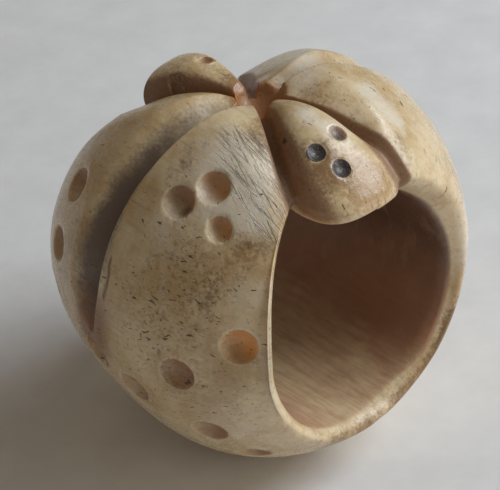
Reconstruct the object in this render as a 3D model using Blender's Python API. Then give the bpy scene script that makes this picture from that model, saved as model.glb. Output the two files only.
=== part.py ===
"""A carved bone netsuke: a ball with a wide bore, a six-lobed flower over the top and drilled dots.

The bone stands on its underside with the flower up. The bore runs along Y and its front mouth
faces -Y. Two small buds of the flower hang over the mouths, and four large lobes run down the
sides. Lengths in this file are millimetres from the middle of the ball, and the mesh is made in
metres, standing on z = 0.
"""

import bmesh
import bpy
import numpy as np

MM = 0.001

# Ball
BALL_WIDTH = 36.0
BALL_RADIUS = BALL_WIDTH / 2
SHOULDER_SWELL = 0.9
LOWER_HOLLOW = 1.0
BACK_SWELL = 0.5
FRONT_HOLLOW = 0.5
CREST_HOLLOW = 0.5
FOOT_CUT = 0.45
FOOT_DROP = BALL_RADIUS - FOOT_CUT

# Bore and its mouths
BORE_WIDTH = 21.8
BORE_RADIUS = BORE_WIDTH / 2
BORE_FLAT = 0.8
FLAT_MIDDLE = 1.0
FLAT_WIDTH = 0.55
FRONT_LIP = 13.3
FRONT_LEAN = 4.0
FRONT_SKEW = 0.35
BACK_LIP = 13.4
BACK_SWEEP = 0.5
SWEEP_MIDDLE = -1.05
SWEEP_WIDTH = 0.5
BACK_NOTCH = 1.6
BUD_LIP = 14.1
BACK_BUD_LIP = 11.7
BACK_GAP = 2.6
LIP_ROUND = 0.5
LIP_REACH = 0.75
LEFT_SHARP = 0.6
BUD_ROUND = 1.0
BUD_BLUNT = 0.75
FLARE_SLOPE = 1.15
FLARE_LEAST = 0.4
RIM_BLUNT = 0.8
RIM_ROLL = 1.1
RIM_CORNER = 0.9

# Grooves of the flower
FLOWER_BACK = 1.0
LEFT_START = 0.2
RIGHT_START = 0.5
GROOVE_TURN = 9.8
FRONT_LEFT_GROOVE = 30.4
FRONT_RIGHT_GROOVE = 17.5
BACK_LEFT_GROOVE = 33.0
BACK_RIGHT_GROOVE = 36.0
GROOVE_DEPTH_INNER = 1.4
GROOVE_DEPTH_OUTER = 2.6
GROOVE_HALF_INNER = 0.5
GROOVE_HALF_OUTER = 0.9
CHAMFER_DROP = 0.7
CHAMFER_WIDTH = 1.6
CHAMFER_EXTRA = 1.4
FACET_DROP = 1.3
FACET_WIDTH = 4.0
FACET_NARROWING = 2.2
LIP_FADE = 0.5
BACK_RIGHT_DROP = 2.4
BACK_RIGHT_EXTRA = 0.7
BACK_RIGHT_WIDENING = 3.0

# Small buds of the flower
BUD_FULLNESS = 2.3
TIP_TAPER = 0.45
BACK_BUD_FULLNESS = 3.2
FRONT_LEFT_SHARE = 0.84
FRONT_RIGHT_SHARE = 0.92
BACK_LEFT_SHARE = 0.70
BACK_RIGHT_SHARE = 0.55
KNOB_SWELL = 0.65
KNOB_MIDDLE = 9.8
KNOB_LENGTH = 3.2

# Valleys between the large lobes, down the sides
VALLEY_DEPTH = 1.9
VALLEY_FRONT_WIDTH = 1.0
VALLEY_BACK_WIDTH = 3.6
VALLEY_SWEEP_LEFT = 2.1
VALLEY_SWEEP_RIGHT = -2.6
VALLEY_END = 93.0

# Pit in the middle of the flower, and the dip round it
PIT_TURN = 1.7
PIT_BACK = 0.9
PIT_RADIUS = 2.1
PIT_DEPTH = 1.85
DIP_DEPTH = 2.4
DIP_RADIUS = 4.2

# Drilled dots
DOT_RADIUS = 1.6
DOT_DEPTH = 0.95
BUD_DOT_RADIUS = 0.85
BUD_DOT_DEPTH = 0.42

# Mesh
FAN_ANGLE = np.radians(33.0)
FAN_END = np.radians(105.0)
COLUMNS = 74
OUTSIDE_ROWS = 30
LIP_ROWS = 4
BORE_ROWS = 7
DOT_SIDES = 16
DOT_RINGS = 8


def ease(x, start, end):
    """0 before start, 1 after end and a smooth step between."""
    t = np.clip((x - start) / (end - start), 0, 1)
    return t * t * (3 - 2 * t)


def bump(x, middle, width):
    """A bell of height 1."""
    return np.exp(-(((x - middle) / width) ** 2))


def turn_from(angle, degrees):
    """The angle in degrees, measured from a given direction and kept within half a turn."""
    return (np.degrees(angle) - degrees + 180) % 360 - 180


def ball_radius(angle, y):
    """Radius of the hand-worked ball: fuller at one shoulder, hollower low on the other side."""
    return (
        BALL_RADIUS
        + SHOULDER_SWELL * bump(turn_from(angle, 52), 0, 30) * bump(y, 0, 12)
        - LOWER_HOLLOW * bump(turn_from(angle, -125), 0, 32) * bump(y, 3.5, 8)
        + BACK_SWELL * bump(turn_from(angle, -80), 0, 35) * bump(y, 14, 6)
        - FRONT_HOLLOW * bump(turn_from(angle, 138), 0, 32) * bump(y, -14, 6)
        - CREST_HOLLOW * bump(turn_from(angle, 27), 0, 18) * bump(y, 6, 4)
    )


def outside_radius(angle, y):
    """Distance of the uncarved outside from the bore's axis."""
    return np.sqrt(np.maximum(ball_radius(angle, y) ** 2 - y**2, 4.0))


def bore_radius(angle):
    """The bore, a little flatter at the upper right."""
    return BORE_RADIUS - BORE_FLAT * bump(angle, FLAT_MIDDLE, FLAT_WIDTH)


def groove_line(side, y):
    """Distance of a diagonal groove from the middle line of the flower, turned in near the mouth."""
    front = np.where(side < 0, FRONT_LEFT_GROOVE, FRONT_RIGHT_GROOVE)
    rear = np.where(side < 0, BACK_LEFT_GROOVE, BACK_RIGHT_GROOVE)
    slope = np.tan(np.radians(np.where(y < FLOWER_BACK, front, rear)))
    reach = np.abs(y - FLOWER_BACK) - np.logaddexp(0, (np.abs(y) - GROOVE_TURN) * 1.6) / 1.6
    return np.where(side < 0, LEFT_START, RIGHT_START) + reach * slope, slope


def fanned(column, y):
    """Angle round the bore of a column at y, so that one column follows each diagonal groove."""
    line, _ = groove_line(column, y)
    groove = np.arctan2(line, np.sqrt(np.maximum(BALL_RADIUS**2 - y**2 - line**2, 1)))
    squeeze = groove / FAN_ANGLE
    size = np.abs(column)
    span = FAN_END - FAN_ANGLE
    t = np.clip((size - FAN_ANGLE) / span, 0, 1)
    spread = (
        (2 * t**3 - 3 * t**2 + 1) * FAN_ANGLE * squeeze
        + (t**3 - 2 * t**2 + t) * span * squeeze
        + (3 * t**2 - 2 * t**3) * FAN_END
        + (t**3 - t**2) * span
    )
    inner = np.where(size < FAN_ANGLE, size * squeeze, spread)
    return np.sign(column) * np.where(size < FAN_END, inner, size)


def valley_line(angle):
    """Distance along the bore at which each side valley runs: it sweeps back on the left."""
    down = np.degrees(np.abs(angle))
    left = FLOWER_BACK + VALLEY_SWEEP_LEFT * ease(down, 3, 62)
    sideways = FLOWER_BACK + VALLEY_SWEEP_RIGHT * ease(down, 3, 45)
    return np.where(angle < 0, left, sideways) * (1 - ease(down, 120, 178))


def quadrant(side, y, front_left, front_right, back_left, back_right):
    """One of four values, by which lobe a point is on or beside."""
    front = np.where(side < 0, front_left, front_right)
    return np.where(y < FLOWER_BACK, front, np.where(side < 0, back_left, back_right))


def carved_depth(x, y, z, angle):
    """How deep the carving goes below the uncarved ball at a point of it."""
    out = np.hypot(x, y - FLOWER_BACK)
    top = ease(z, -1, 3)
    line, slope = groove_line(angle, y)
    past = (np.abs(x) - line) / np.hypot(1, slope)

    grown = ease(out, 1, 6)
    fade = 1 - quadrant(angle, y, 0.35, 0.75, 0.35, 0.35) * ease(out, 8.5, 12.5)
    depth = GROOVE_DEPTH_INNER + (GROOVE_DEPTH_OUTER - GROOVE_DEPTH_INNER) * grown * fade
    depth = depth + quadrant(angle, y, 0, 0, 0, BACK_RIGHT_EXTRA) * grown
    depth = depth * (1 - quadrant(angle, y, 0, LIP_FADE, 0, 0) * ease(out, 9.5, 13))
    half = GROOVE_HALF_INNER + (GROOVE_HALF_OUTER - GROOVE_HALF_INNER) * ease(out, 2, 10)
    share = quadrant(angle, y, FRONT_LEFT_SHARE, FRONT_RIGHT_SHARE, BACK_LEFT_SHARE, BACK_RIGHT_SHARE)
    share = share * (1 - quadrant(angle, y, TIP_TAPER, 0.1, 0.1, 0.1) * (1 - ease(out, 1.5, 7)))
    across = np.clip(np.abs(x) / (line * share), 0, 1)
    full = quadrant(angle, y, BUD_FULLNESS, BUD_FULLNESS, BACK_BUD_FULLNESS, BUD_FULLNESS)
    bud = depth * (1 - (1 - across**full) ** (1 / full))

    chamfer_width = CHAMFER_WIDTH + CHAMFER_EXTRA * bump(out, 7.5, 4.0)
    facet_width = FACET_WIDTH - FACET_NARROWING * ease(out, 4, 12)
    width = quadrant(angle, y, chamfer_width, facet_width, chamfer_width, chamfer_width + BACK_RIGHT_WIDENING)
    drop = quadrant(angle, y, CHAMFER_DROP, FACET_DROP, CHAMFER_DROP, BACK_RIGHT_DROP)
    drop = drop * ease(out, 1, 6) * (1 - quadrant(angle, y, 0.5, 0.9, 0.5, 0.0) * ease(out, 9, 12.5))
    drop = np.minimum(drop, depth)
    slide = np.clip((past - half * 0.7) / width, 0, 1)
    chamfer = (1 - slide) ** 1.4
    lobe = drop * chamfer + (depth - drop) * (1 - ease(past, 0.1, half))
    groove = np.where(past < 0, bud, lobe) * top

    down = np.degrees(np.abs(angle))
    middle = valley_line(angle)
    taper = np.sqrt(np.clip((VALLEY_END - down) / 14.0, 1e-4, 1))
    beyond = (y - middle) / taper
    front_wall = 1 - ease(-beyond, 0.25, VALLEY_FRONT_WIDTH)
    back_slide = np.clip((beyond - 0.2) / (VALLEY_BACK_WIDTH - 0.2), 0, 1)
    back_wall = np.where(angle < 0, 1 - back_slide**2 * (3 - 2 * back_slide), (1 - back_slide) ** 1.15)
    valley = VALLEY_DEPTH * taper * np.where(beyond < 0, front_wall, back_wall)
    valley = valley * ease(down, 2, 16) * (down < VALLEY_END)
    start = GROOVE_DEPTH_INNER * (1 - ease(np.abs(y - middle), 0.2, 0.8)) * (down < 30) * top

    dip = DIP_DEPTH * np.exp(-((out / DIP_RADIUS) ** 2)) * top
    swell = KNOB_SWELL * bump(y, KNOB_MIDDLE, KNOB_LENGTH) * (1 - across**4) * (past < 0) * top
    return np.maximum.reduce([groove, valley, start]) + dip - swell


def front_lip(angle, bud):
    """How far the front mouth's lip stands from the middle of the ball."""
    lean = FRONT_LEAN * np.maximum(np.cos(angle), 0) ** 2 * ease(-angle, -0.35, 0.5)
    side = FRONT_LIP - lean + FRONT_SKEW * (np.maximum(-np.cos(angle), 0) - np.sin(angle))
    return side + (BUD_LIP - side) * bud**0.8


def back_lip(angle, bud):
    """How far the back mouth's lip stands from the middle of the ball."""
    notch = BACK_NOTCH * ease(np.cos(angle), 0.7, 0.95)
    gap = BACK_GAP * bump(np.degrees(np.abs(angle)), 27, 14)
    side = BACK_LIP + BACK_SWEEP * bump(angle, SWEEP_MIDDLE, SWEEP_WIDTH) - np.maximum(notch, gap)
    return side + (BACK_BUD_LIP - side) * bud**2


def blunt_rim(angle):
    """1 where the front lip is broad and round instead of flared, down its right side."""
    return ease(angle, 0.35, 0.85) * (1 - ease(angle, 2.3, 2.9))


def lip_curve(angle, lip, bud, rim, rows):
    """The rolled lip from the outside to the bore: distance along the bore, radius and position."""
    t = np.linspace(0, 1, rows + 2)[None, 1:-1]
    y_out = lip - LIP_ROUND - BUD_ROUND * bud
    r_out = outside_radius(angle, y_out)
    slope = y_out / r_out
    roll = LIP_REACH * np.where(angle < 0, LEFT_SHARP, 1) + BUD_ROUND * bud + RIM_ROLL * rim
    y_roll = y_out + roll / np.hypot(1, slope)
    r_roll = r_out - roll * slope / np.hypot(1, slope)
    r_bore = bore_radius(angle)
    flare = FLARE_LEAST + FLARE_SLOPE * (r_out - r_bore) * (1 - BUD_BLUNT * bud) * (1 - RIM_BLUNT * rim)
    flare = flare + BUD_ROUND * bud
    y_bore = lip - flare
    w0, w1, w2, w3 = (1 - t) ** 3, 3 * t * (1 - t) ** 2, 3 * t**2 * (1 - t), t**3
    y_under = y_bore + flare * (0.6 + 0.35 * bud)
    y = w0 * y_out + w1 * y_roll + w2 * y_under + w3 * y_bore
    r = w0 * r_out + w1 * r_roll + w2 * (r_bore + 0.1 + RIM_CORNER * rim) + w3 * r_bore
    return y, r, 1 - ease(t, 0.2, 1.0), y_out, y_bore


def placed(y, r, angle, depth):
    """Points from distance along the bore, radius and angle, sunk toward the middle by a depth."""
    points = np.stack([r * np.sin(angle), y + 0 * r, r * np.cos(angle)], axis=-1)
    size = np.linalg.norm(points, axis=-1, keepdims=True)
    return points * (1 - depth[..., None] / size)


def spread(count, low, high, density):
    """Values from low to high, closer together where the density is higher."""
    fine = np.linspace(low, high, 4001)
    total = np.cumsum(density(fine))
    total = (total - total[0]) / (total[-1] - total[0])
    return np.interp(np.linspace(0, 1, count), total, fine)


def bud_share(column, left, right):
    """1 in the middle of a small bud and 0 past its sides: a half circle over its width."""
    width = FAN_ANGLE * np.where(column < 0, left, right)
    return np.sqrt(np.clip(1 - (column / width) ** 2, 0, 1))


def carved_grid(columns, outside_rows, lip_rows, bore_rows):
    """The whole skin as a grid closed both ways: columns round the bore, rows round the section.

    A row goes over the front lip, along the outside, over the back lip and back through the bore.
    """
    column = columns[:, None]
    front_bud = bud_share(column, FRONT_LEFT_SHARE, FRONT_RIGHT_SHARE)
    back_bud = bud_share(column, BACK_LEFT_SHARE, BACK_RIGHT_SHARE)
    front = np.full_like(column, 12.0)
    back = np.full_like(column, 12.0)
    for _ in range(6):
        front_angle = fanned(column, LIP_ROUND - front)
        back_angle = fanned(column, back - LIP_ROUND)
        front = front_lip(front_angle, front_bud)
        back = back_lip(back_angle, back_bud)
    fy, fr, f_fade, f_out, f_bore = lip_curve(front_angle, front, front_bud, blunt_rim(front_angle), lip_rows)
    by, br, b_fade, b_out, b_bore = lip_curve(back_angle, back, back_bud, 0, lip_rows)

    near_valley = lambda v: 1 + 3.0 * bump(v, 0.0, 0.06) + 1.2 * bump(v, 0.12, 0.16)
    along = spread(outside_rows, -1, 1, near_valley)[None, :]
    y = np.where(along < 0, f_out, b_out) * along
    y = y + (1 - along**2) ** 2 * valley_line(fanned(column, y))
    angle = fanned(column, y)
    r = outside_radius(angle, y)
    depth = carved_depth(r * np.sin(angle), y, r * np.cos(angle), angle)
    outside = placed(y, r, angle, depth)
    front_skin = placed(-fy, fr, front_angle, depth[:, :1] * f_fade)[:, ::-1]
    back_skin = placed(by, br, back_angle, depth[:, -1:] * b_fade)

    through = np.linspace(0, 1, bore_rows)[None, :]
    bore_angle = back_angle + (front_angle - back_angle) * through
    bore_y = b_bore - (b_bore + f_bore) * through
    bore = placed(bore_y, bore_radius(bore_angle), bore_angle, 0 * bore_y)
    return np.concatenate([front_skin, outside, back_skin, bore], axis=1)


def grid_faces(columns, rows):
    """Four-cornered faces of a grid that closes on itself both ways, facing out."""
    i = np.arange(columns)[:, None]
    j = np.arange(rows)[None, :]
    after = (i + 1) % columns
    above = (j + 1) % rows
    corners = [i * rows + j, i * rows + above, after * rows + above, after * rows + j]
    return np.stack(corners, axis=-1).reshape(-1, 4)


def mesh_object(name, points, faces):
    mesh = bpy.data.meshes.new(name)
    mesh.from_pydata((points * MM).tolist(), [], faces.tolist())
    mesh.validate()
    item = bpy.data.objects.new(name, mesh)
    bpy.context.collection.objects.link(item)
    return item


def dots():
    """Every drilled hollow: angle round the bore from the top, distance along it, radius, depth."""
    big = [(-77, -11.0), (-92, -6.5), (-117, -7.9), (-137, -9.3)]
    big += [(-106, -1.3), (-102, 3.2), (-55, 9.4), (-76, 9.7), (-96, 10.6), (-170, -10.5)]
    big += [(174, -12.0), (70, -6.4), (81, -4.8), (82, -8.8), (98, -11.0), (112, -6.5)]
    big += [(58, 9.6), (76, 9.9), (95, 10.4), (116, 1.5), (138, -3.0), (150, 6.0)]
    small = [(2, -8.2), (-8.3, -8.5), (-5.5, -10.5), (1.3, 7.1), (-11, 7.6)]
    hollows = [(angle, y, DOT_RADIUS, DOT_DEPTH) for angle, y in big]
    hollows += [(angle, y, BUD_DOT_RADIUS, BUD_DOT_DEPTH) for angle, y in small]
    hollows += [(-36, -4.5, DOT_RADIUS * 0.92, DOT_DEPTH), (-44, -2.6, DOT_RADIUS * 0.92, DOT_DEPTH)]
    hollows += [(-45, -6.7, DOT_RADIUS * 0.7, DOT_DEPTH * 0.8)]
    hollows += [(PIT_TURN, PIT_BACK, PIT_RADIUS, PIT_DEPTH)]
    return hollows


def dot_cutter(degrees, y, radius, deep):
    """A ball whose cap is the hollow, standing over the carved skin."""
    angle = np.radians(degrees)
    r = outside_radius(angle, y)
    point = np.array([r * np.sin(angle), y, r * np.cos(angle)])
    out = point / np.linalg.norm(point)
    skin = point - out * min(carved_depth(point[0], y, point[2], angle), DIP_DEPTH)
    ball = (radius**2 + deep**2) / (2 * deep)
    tilt = np.linspace(0, np.pi, DOT_RINGS + 1)[1:-1, None]
    turn = np.linspace(0, 2 * np.pi, DOT_SIDES, endpoint=False)[None, :]
    side = np.cross(out, [0.0, 0.6, 0.8])
    side = side / np.linalg.norm(side)
    up = np.cross(out, side)
    shell = (
        -np.cos(tilt)[..., None] * out
        + (np.sin(tilt) * np.cos(turn))[..., None] * side
        + (np.sin(tilt) * np.sin(turn))[..., None] * up
    )
    ends = [-out, out]
    return np.concatenate([shell.reshape(-1, 3), ends]) * ball + skin + out * (ball - deep)


def cutter_faces():
    """Faces of one dot cutter: rings of four-cornered faces and a fan at each end."""
    faces = []
    low = (DOT_RINGS - 1) * DOT_SIDES
    for side in range(DOT_SIDES):
        after = (side + 1) % DOT_SIDES
        for ring in range(DOT_RINGS - 2):
            here = ring * DOT_SIDES
            there = here + DOT_SIDES
            faces.append([here + side, here + after, there + after, there + side])
        faces.append([low, after, side])
        last = (DOT_RINGS - 2) * DOT_SIDES
        faces.append([low + 1, last + side, last + after])
    return faces


def cutter_object():
    """All the dot cutters as one hidden object."""
    points = []
    faces = []
    for dot in dots():
        start = sum(len(group) for group in points)
        points.append(dot_cutter(*dot))
        faces += [[corner + start for corner in face] for face in cutter_faces()]
    mesh = bpy.data.meshes.new("dot_cutters")
    mesh.from_pydata((np.concatenate(points) * MM).tolist(), [], faces)
    edit = bmesh.new()
    edit.from_mesh(mesh)
    bmesh.ops.recalc_face_normals(edit, faces=edit.faces)
    edit.to_mesh(mesh)
    edit.free()
    cutters = bpy.data.objects.new("dot_cutters", mesh)
    bpy.context.collection.objects.link(cutters)
    return cutters


def foot_cutter():
    """A block that takes a small flat off the underside."""
    bpy.ops.mesh.primitive_cube_add(size=1, location=(0, 0, (-FOOT_DROP - 5) * MM))
    block = bpy.context.active_object
    block.name = "foot_cutter"
    block.scale = (40 * MM, 40 * MM, 10 * MM)
    return block


def cut(item, cutter):
    modifier = item.modifiers.new(cutter.name, "BOOLEAN")
    modifier.operation = "DIFFERENCE"
    modifier.solver = "EXACT"
    modifier.object = cutter
    bpy.context.view_layer.update()
    graph = bpy.context.evaluated_depsgraph_get()
    done = bpy.data.meshes.new_from_object(item.evaluated_get(graph))
    item.modifiers.clear()
    item.data = done
    bpy.data.objects.remove(cutter)


def bone_material():
    material = bpy.data.materials.new("bone")
    material.use_nodes = True
    shader = material.node_tree.nodes["Principled BSDF"]
    shader.inputs["Base Color"].default_value = (0.62, 0.50, 0.34, 1)
    shader.inputs["Roughness"].default_value = 0.38
    return material


def main():
    for item in list(bpy.data.objects):
        bpy.data.objects.remove(item)

    near_groove = lambda a: 1 + 2.2 * bump(np.abs(a), FAN_ANGLE + 0.05, 0.16) + 0.5 * bump(a, 0, 0.4)
    columns = spread(COLUMNS + 1, -np.pi, np.pi, near_groove)[:-1]
    skin = carved_grid(columns, OUTSIDE_ROWS, LIP_ROWS, BORE_ROWS)
    bone = mesh_object("carved_bone", skin.reshape(-1, 3), grid_faces(*skin.shape[:2]))
    cut(bone, cutter_object())
    cut(bone, foot_cutter())

    corners = np.array([vertex.co for vertex in bone.data.vertices])
    middle = (corners.min(axis=0) + corners.max(axis=0)) / 2
    corners = corners - [middle[0], middle[1], corners[:, 2].min()]
    bone.data.vertices.foreach_set("co", corners.ravel())
    bone.data.materials.clear()
    bone.data.materials.append(bone_material())
    bone.data.polygons.foreach_set("use_smooth", [True] * len(bone.data.polygons))
    bone.data.set_sharp_from_angle(angle=np.radians(35))
    bone.data.update()
    print("box middle before centring, mm:", (middle / MM).round(3))


main()
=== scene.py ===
# %% [markdown]
# A carved bone netsuke
#
# A netsuke is the toggle that kept a pouch on a sash. This one is a ball of bone about 36 mm
# across with a wide bore through it, a six-petalled flower over the top and drilled dots. The
# imported solid gives the frame: the finer bone made here takes its place, in the same box and
# on the same foot. Lengths below are millimetres from the middle of the ball until the mesh is
# made, and metres after that.

import bpy
import numpy as np
from mathutils import Matrix, Vector


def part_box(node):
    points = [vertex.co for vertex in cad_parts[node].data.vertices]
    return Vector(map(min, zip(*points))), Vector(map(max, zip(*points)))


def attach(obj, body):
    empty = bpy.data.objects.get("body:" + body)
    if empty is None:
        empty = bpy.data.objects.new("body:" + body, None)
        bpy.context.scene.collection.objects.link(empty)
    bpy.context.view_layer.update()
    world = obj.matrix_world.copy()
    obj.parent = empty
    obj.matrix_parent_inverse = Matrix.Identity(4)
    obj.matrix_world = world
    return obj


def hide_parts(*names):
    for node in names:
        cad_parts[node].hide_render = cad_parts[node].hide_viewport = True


MM = 0.001
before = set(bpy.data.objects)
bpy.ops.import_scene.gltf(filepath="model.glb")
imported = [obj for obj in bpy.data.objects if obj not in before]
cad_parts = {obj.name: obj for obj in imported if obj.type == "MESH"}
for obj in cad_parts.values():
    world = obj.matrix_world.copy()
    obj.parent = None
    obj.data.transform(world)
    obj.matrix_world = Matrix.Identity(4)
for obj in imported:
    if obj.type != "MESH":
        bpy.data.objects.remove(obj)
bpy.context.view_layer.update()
node_low, node_high = (np.array(corner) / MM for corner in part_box("carved_bone"))
print("frame box, mm:", node_low.round(2), node_high.round(2))

# %% [markdown]
# The camera
#
# The ball was seen from its front left corner and well above, through a long lens: the two
# mouths keep nearly the same width. Three axes say how a camera is turned, right, up and back,
# and they are the columns of its matrix. Two small offsets set the ball a little off the middle
# of the picture. The camera's distances are metres, and its lens is in millimetres.

# %% Camera
FOOT_DROP = 17.55
BALL_MIDDLE = np.array([-0.207, -0.036, FOOT_DROP])
CAMERA_FAR = 0.230
CAMERA_LEFT = 0.00105
CAMERA_UP = 0.00061
LENS_LENGTH = 189.4
azimuth, height_angle = np.radians(-45.6), np.radians(36.0)
back = Vector((np.sin(azimuth) * np.cos(height_angle), -np.cos(azimuth) * np.cos(height_angle),
               np.sin(height_angle)))
right = Vector((0, 0, 1)).cross(back).normalized()
up = back.cross(right)

lens = bpy.data.cameras.new("long_lens")
lens.lens = LENS_LENGTH
lens.sensor_width = 36.0
camera = bpy.data.objects.new("camera", lens)
ball_place = Vector(BALL_MIDDLE * MM)
camera_place = ball_place + back * CAMERA_FAR - right * CAMERA_LEFT + up * CAMERA_UP
turned = Matrix((right, up, back)).transposed().to_4x4()
camera.matrix_world = Matrix.Translation(camera_place) @ turned
bpy.context.scene.collection.objects.link(camera)
bpy.context.scene.camera = camera
print("camera at, mm:", [round(v / MM, 1) for v in camera_place])

# %% [markdown]
# Paper and window light
#
# The bone stands on pale paper beside a window. One big soft lamp high on the right is the
# window, and a weaker one level with the bone lights its right side. A dim warm world is the
# light that the room gives back: it fills the shadow on the left without removing it. The
# standard view shows each colour as it was set, with no film curve over it.

# %% Floor and lights
bpy.context.scene.view_settings.view_transform = "Standard"


def finish_mesh(name, points, faces, smooth=True):
    """A mesh object from an array of points in metres and an array of four-cornered faces."""
    mesh = bpy.data.meshes.new(name)
    mesh.vertices.add(len(points))
    mesh.vertices.foreach_set("co", np.asarray(points, np.float32).ravel())
    mesh.loops.add(faces.size)
    mesh.loops.foreach_set("vertex_index", faces.astype(np.int32).ravel())
    mesh.polygons.add(len(faces))
    starts = np.arange(0, faces.size, faces.shape[1], dtype=np.int32)
    mesh.polygons.foreach_set("loop_start", starts)
    mesh.polygons.foreach_set("use_smooth", np.full(len(faces), smooth))
    mesh.update(calc_edges=True)
    mesh.validate()
    item = bpy.data.objects.new(name, mesh)
    bpy.context.scene.collection.objects.link(item)
    return item


HALF_FLOOR = 2
floor_corners = [(-HALF_FLOOR, -HALF_FLOOR, 0), (HALF_FLOOR, -HALF_FLOOR, 0),
                 (HALF_FLOOR, HALF_FLOOR, 0), (-HALF_FLOOR, HALF_FLOOR, 0)]
floor = finish_mesh("paper_floor", floor_corners, np.array([[0, 1, 2, 3]]), smooth=False)
paper = bpy.data.materials.new("paper")
paper.use_nodes = True
paper_nodes, paper_links = paper.node_tree.nodes, paper.node_tree.links
paper_shader = paper_nodes["Principled BSDF"]
paper_place = paper_nodes.new("ShaderNodeTexCoord")
fibres = paper_nodes.new("ShaderNodeTexNoise")
fibres.inputs["Scale"].default_value = 190.0
fibres.inputs["Detail"].default_value = 5.0
fibres.inputs["Roughness"].default_value = 0.6
tones = paper_nodes.new("ShaderNodeMapRange")
tones.inputs["To Min"].default_value = 0.79
tones.inputs["To Max"].default_value = 0.89
tones.inputs["From Min"].default_value = 0.25
tones.inputs["From Max"].default_value = 0.75
paper_links.new(paper_place.outputs["Object"], fibres.inputs["Vector"])
paper_links.new(fibres.outputs["Fac"], tones.inputs["Value"])
paper_links.new(tones.outputs[0], paper_shader.inputs["Base Color"])
paper_shader.inputs["Roughness"].default_value = 0.9
floor.data.materials.append(paper)

world = bpy.data.worlds.new("room")
world.use_nodes = True
room_light = world.node_tree.nodes["Background"]
room_light.inputs["Color"].default_value = (1.0, 0.86, 0.70, 1)
room_light.inputs["Strength"].default_value = 0.167
bpy.context.scene.world = world


def soft_lamp(name, toward, distance, size, watts, colour):
    """A round lamp that looks at the ball from a mix of right, up and back, in metres and watts."""
    lamp = bpy.data.lights.new(name, "AREA")
    lamp.shape = "DISK"
    lamp.size = size
    lamp.energy = watts
    lamp.color = colour
    item = bpy.data.objects.new(name, lamp)
    aim = (right * toward[0] + up * toward[1] + back * toward[2]).normalized()
    item.matrix_world = (Matrix.Translation(ball_place + aim * distance)
                         @ aim.to_track_quat("Z", "Y").to_matrix().to_4x4())
    bpy.context.scene.collection.objects.link(item)
    return item


soft_lamp("window", (0.9, 0.8, 0.35), 0.38, 0.26, 1.09, (0.86, 0.93, 1.0))
soft_lamp("side_window", (1.0, 0.0, 0.35), 0.45, 0.24, 0.38, (1.0, 0.97, 0.92))

# %% [markdown]
# The ball before it is carved
#
# A turner would start from a ball with a wide bore. Here the ball is a radius that depends on
# the angle round the bore and the distance along it: 18 mm, fuller at one shoulder and hollower
# low down, because it was worked by hand. Two small helpers carry every soft change of shape, a
# smooth step and a bell.

# %% Ball
BALL_RADIUS = 18.0
SHOULDER_SWELL = 0.9
LOWER_HOLLOW = 1.0
BACK_SWELL = 0.5
FRONT_HOLLOW = 0.5
CREST_HOLLOW = 0.5
LEAST_RADIUS = 2.0


def ease(x, start, end):
    """A smooth step: 3 t squared less 2 t cubed, where t runs from 0 at start to 1 at end."""
    t = np.clip((x - start) / (end - start), 0, 1)
    return t * t * (3 - 2 * t)


def bump(x, middle, width):
    """A bell of height 1: e to the power of less the square of the distance over the width."""
    return np.exp(-(((x - middle) / width) ** 2))


def turn_from(angle, degrees):
    """The angle less a direction, in degrees from -180 to 180."""
    return (np.degrees(angle) - degrees + 180) % 360 - 180


def ball_radius(angle, y):
    """The ball's radius plus or minus five bells.

    Each is a product of a bell across the angle, in degrees, and one along y, in mm.
    """
    return (
        BALL_RADIUS
        + SHOULDER_SWELL * bump(turn_from(angle, 52), 0, 30) * bump(y, 0, 12)
        - LOWER_HOLLOW * bump(turn_from(angle, -125), 0, 32) * bump(y, 3.5, 8)
        + BACK_SWELL * bump(turn_from(angle, -80), 0, 35) * bump(y, 14, 6)
        - FRONT_HOLLOW * bump(turn_from(angle, 138), 0, 32) * bump(y, -14, 6)
        - CREST_HOLLOW * bump(turn_from(angle, 27), 0, 18) * bump(y, 6, 4)
    )


def outside_radius(angle, y):
    """Distance from the bore's axis: the root of the ball's radius squared less y squared."""
    return np.sqrt(np.maximum(ball_radius(angle, y) ** 2 - y**2, LEAST_RADIUS**2))


all_round = outside_radius(np.linspace(-np.pi, np.pi, 360), 0.0)
print("radius round the middle, mm:", all_round.min().round(2), "to", all_round.max().round(2))

# %% [markdown]
# Grooves and valleys
#
# Four diagonal saw cuts run from the middle of the flower to the mouths and part it into two
# small buds and four lobes; a hollow valley down each side parts the lobes from each other. Each
# is a depth below the ball, and where they meet the deepest counts. A groove is steep on the
# bud's side and has a shallow chamfer on the lobe's side, as a knife leaves it. The pairs at the
# end of the list say between which distances from the middle a form grows or fades.

# %% Carving
FLOWER_BACK = 1.0
LEFT_START = 0.2
RIGHT_START = 0.5
GROOVE_TURN = 9.8
TURN_SHARP = 1.6
FRONT_LEFT_GROOVE = 30.4
FRONT_RIGHT_GROOVE = 17.5
BACK_LEFT_GROOVE = 33.0
BACK_RIGHT_GROOVE = 36.0
GROOVE_DEPTH_INNER = 1.4
GROOVE_DEPTH_OUTER = 2.6
GROOVE_HALF_INNER = 0.5
GROOVE_HALF_OUTER = 0.9
BUD_FULLNESS = 2.3
TIP_TAPER = 0.45
BACK_BUD_FULLNESS = 3.2
FRONT_LEFT_SHARE = 0.84
FRONT_RIGHT_SHARE = 0.92
BACK_LEFT_SHARE = 0.70
BACK_RIGHT_SHARE = 0.55
CHAMFER_DROP = 0.7
CHAMFER_WIDTH = 1.6
CHAMFER_EXTRA = 1.4
FACET_DROP = 1.3
FACET_WIDTH = 4.0
FACET_NARROWING = 2.2
LIP_FADE = 0.5
BACK_RIGHT_DROP = 2.4
BACK_RIGHT_EXTRA = 0.7
BACK_RIGHT_WIDENING = 3.0
KNOB_SWELL = 0.65
KNOB_MIDDLE = 9.8
KNOB_LENGTH = 3.2
VALLEY_DEPTH = 1.9
VALLEY_FRONT_WIDTH = 1.0
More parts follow.
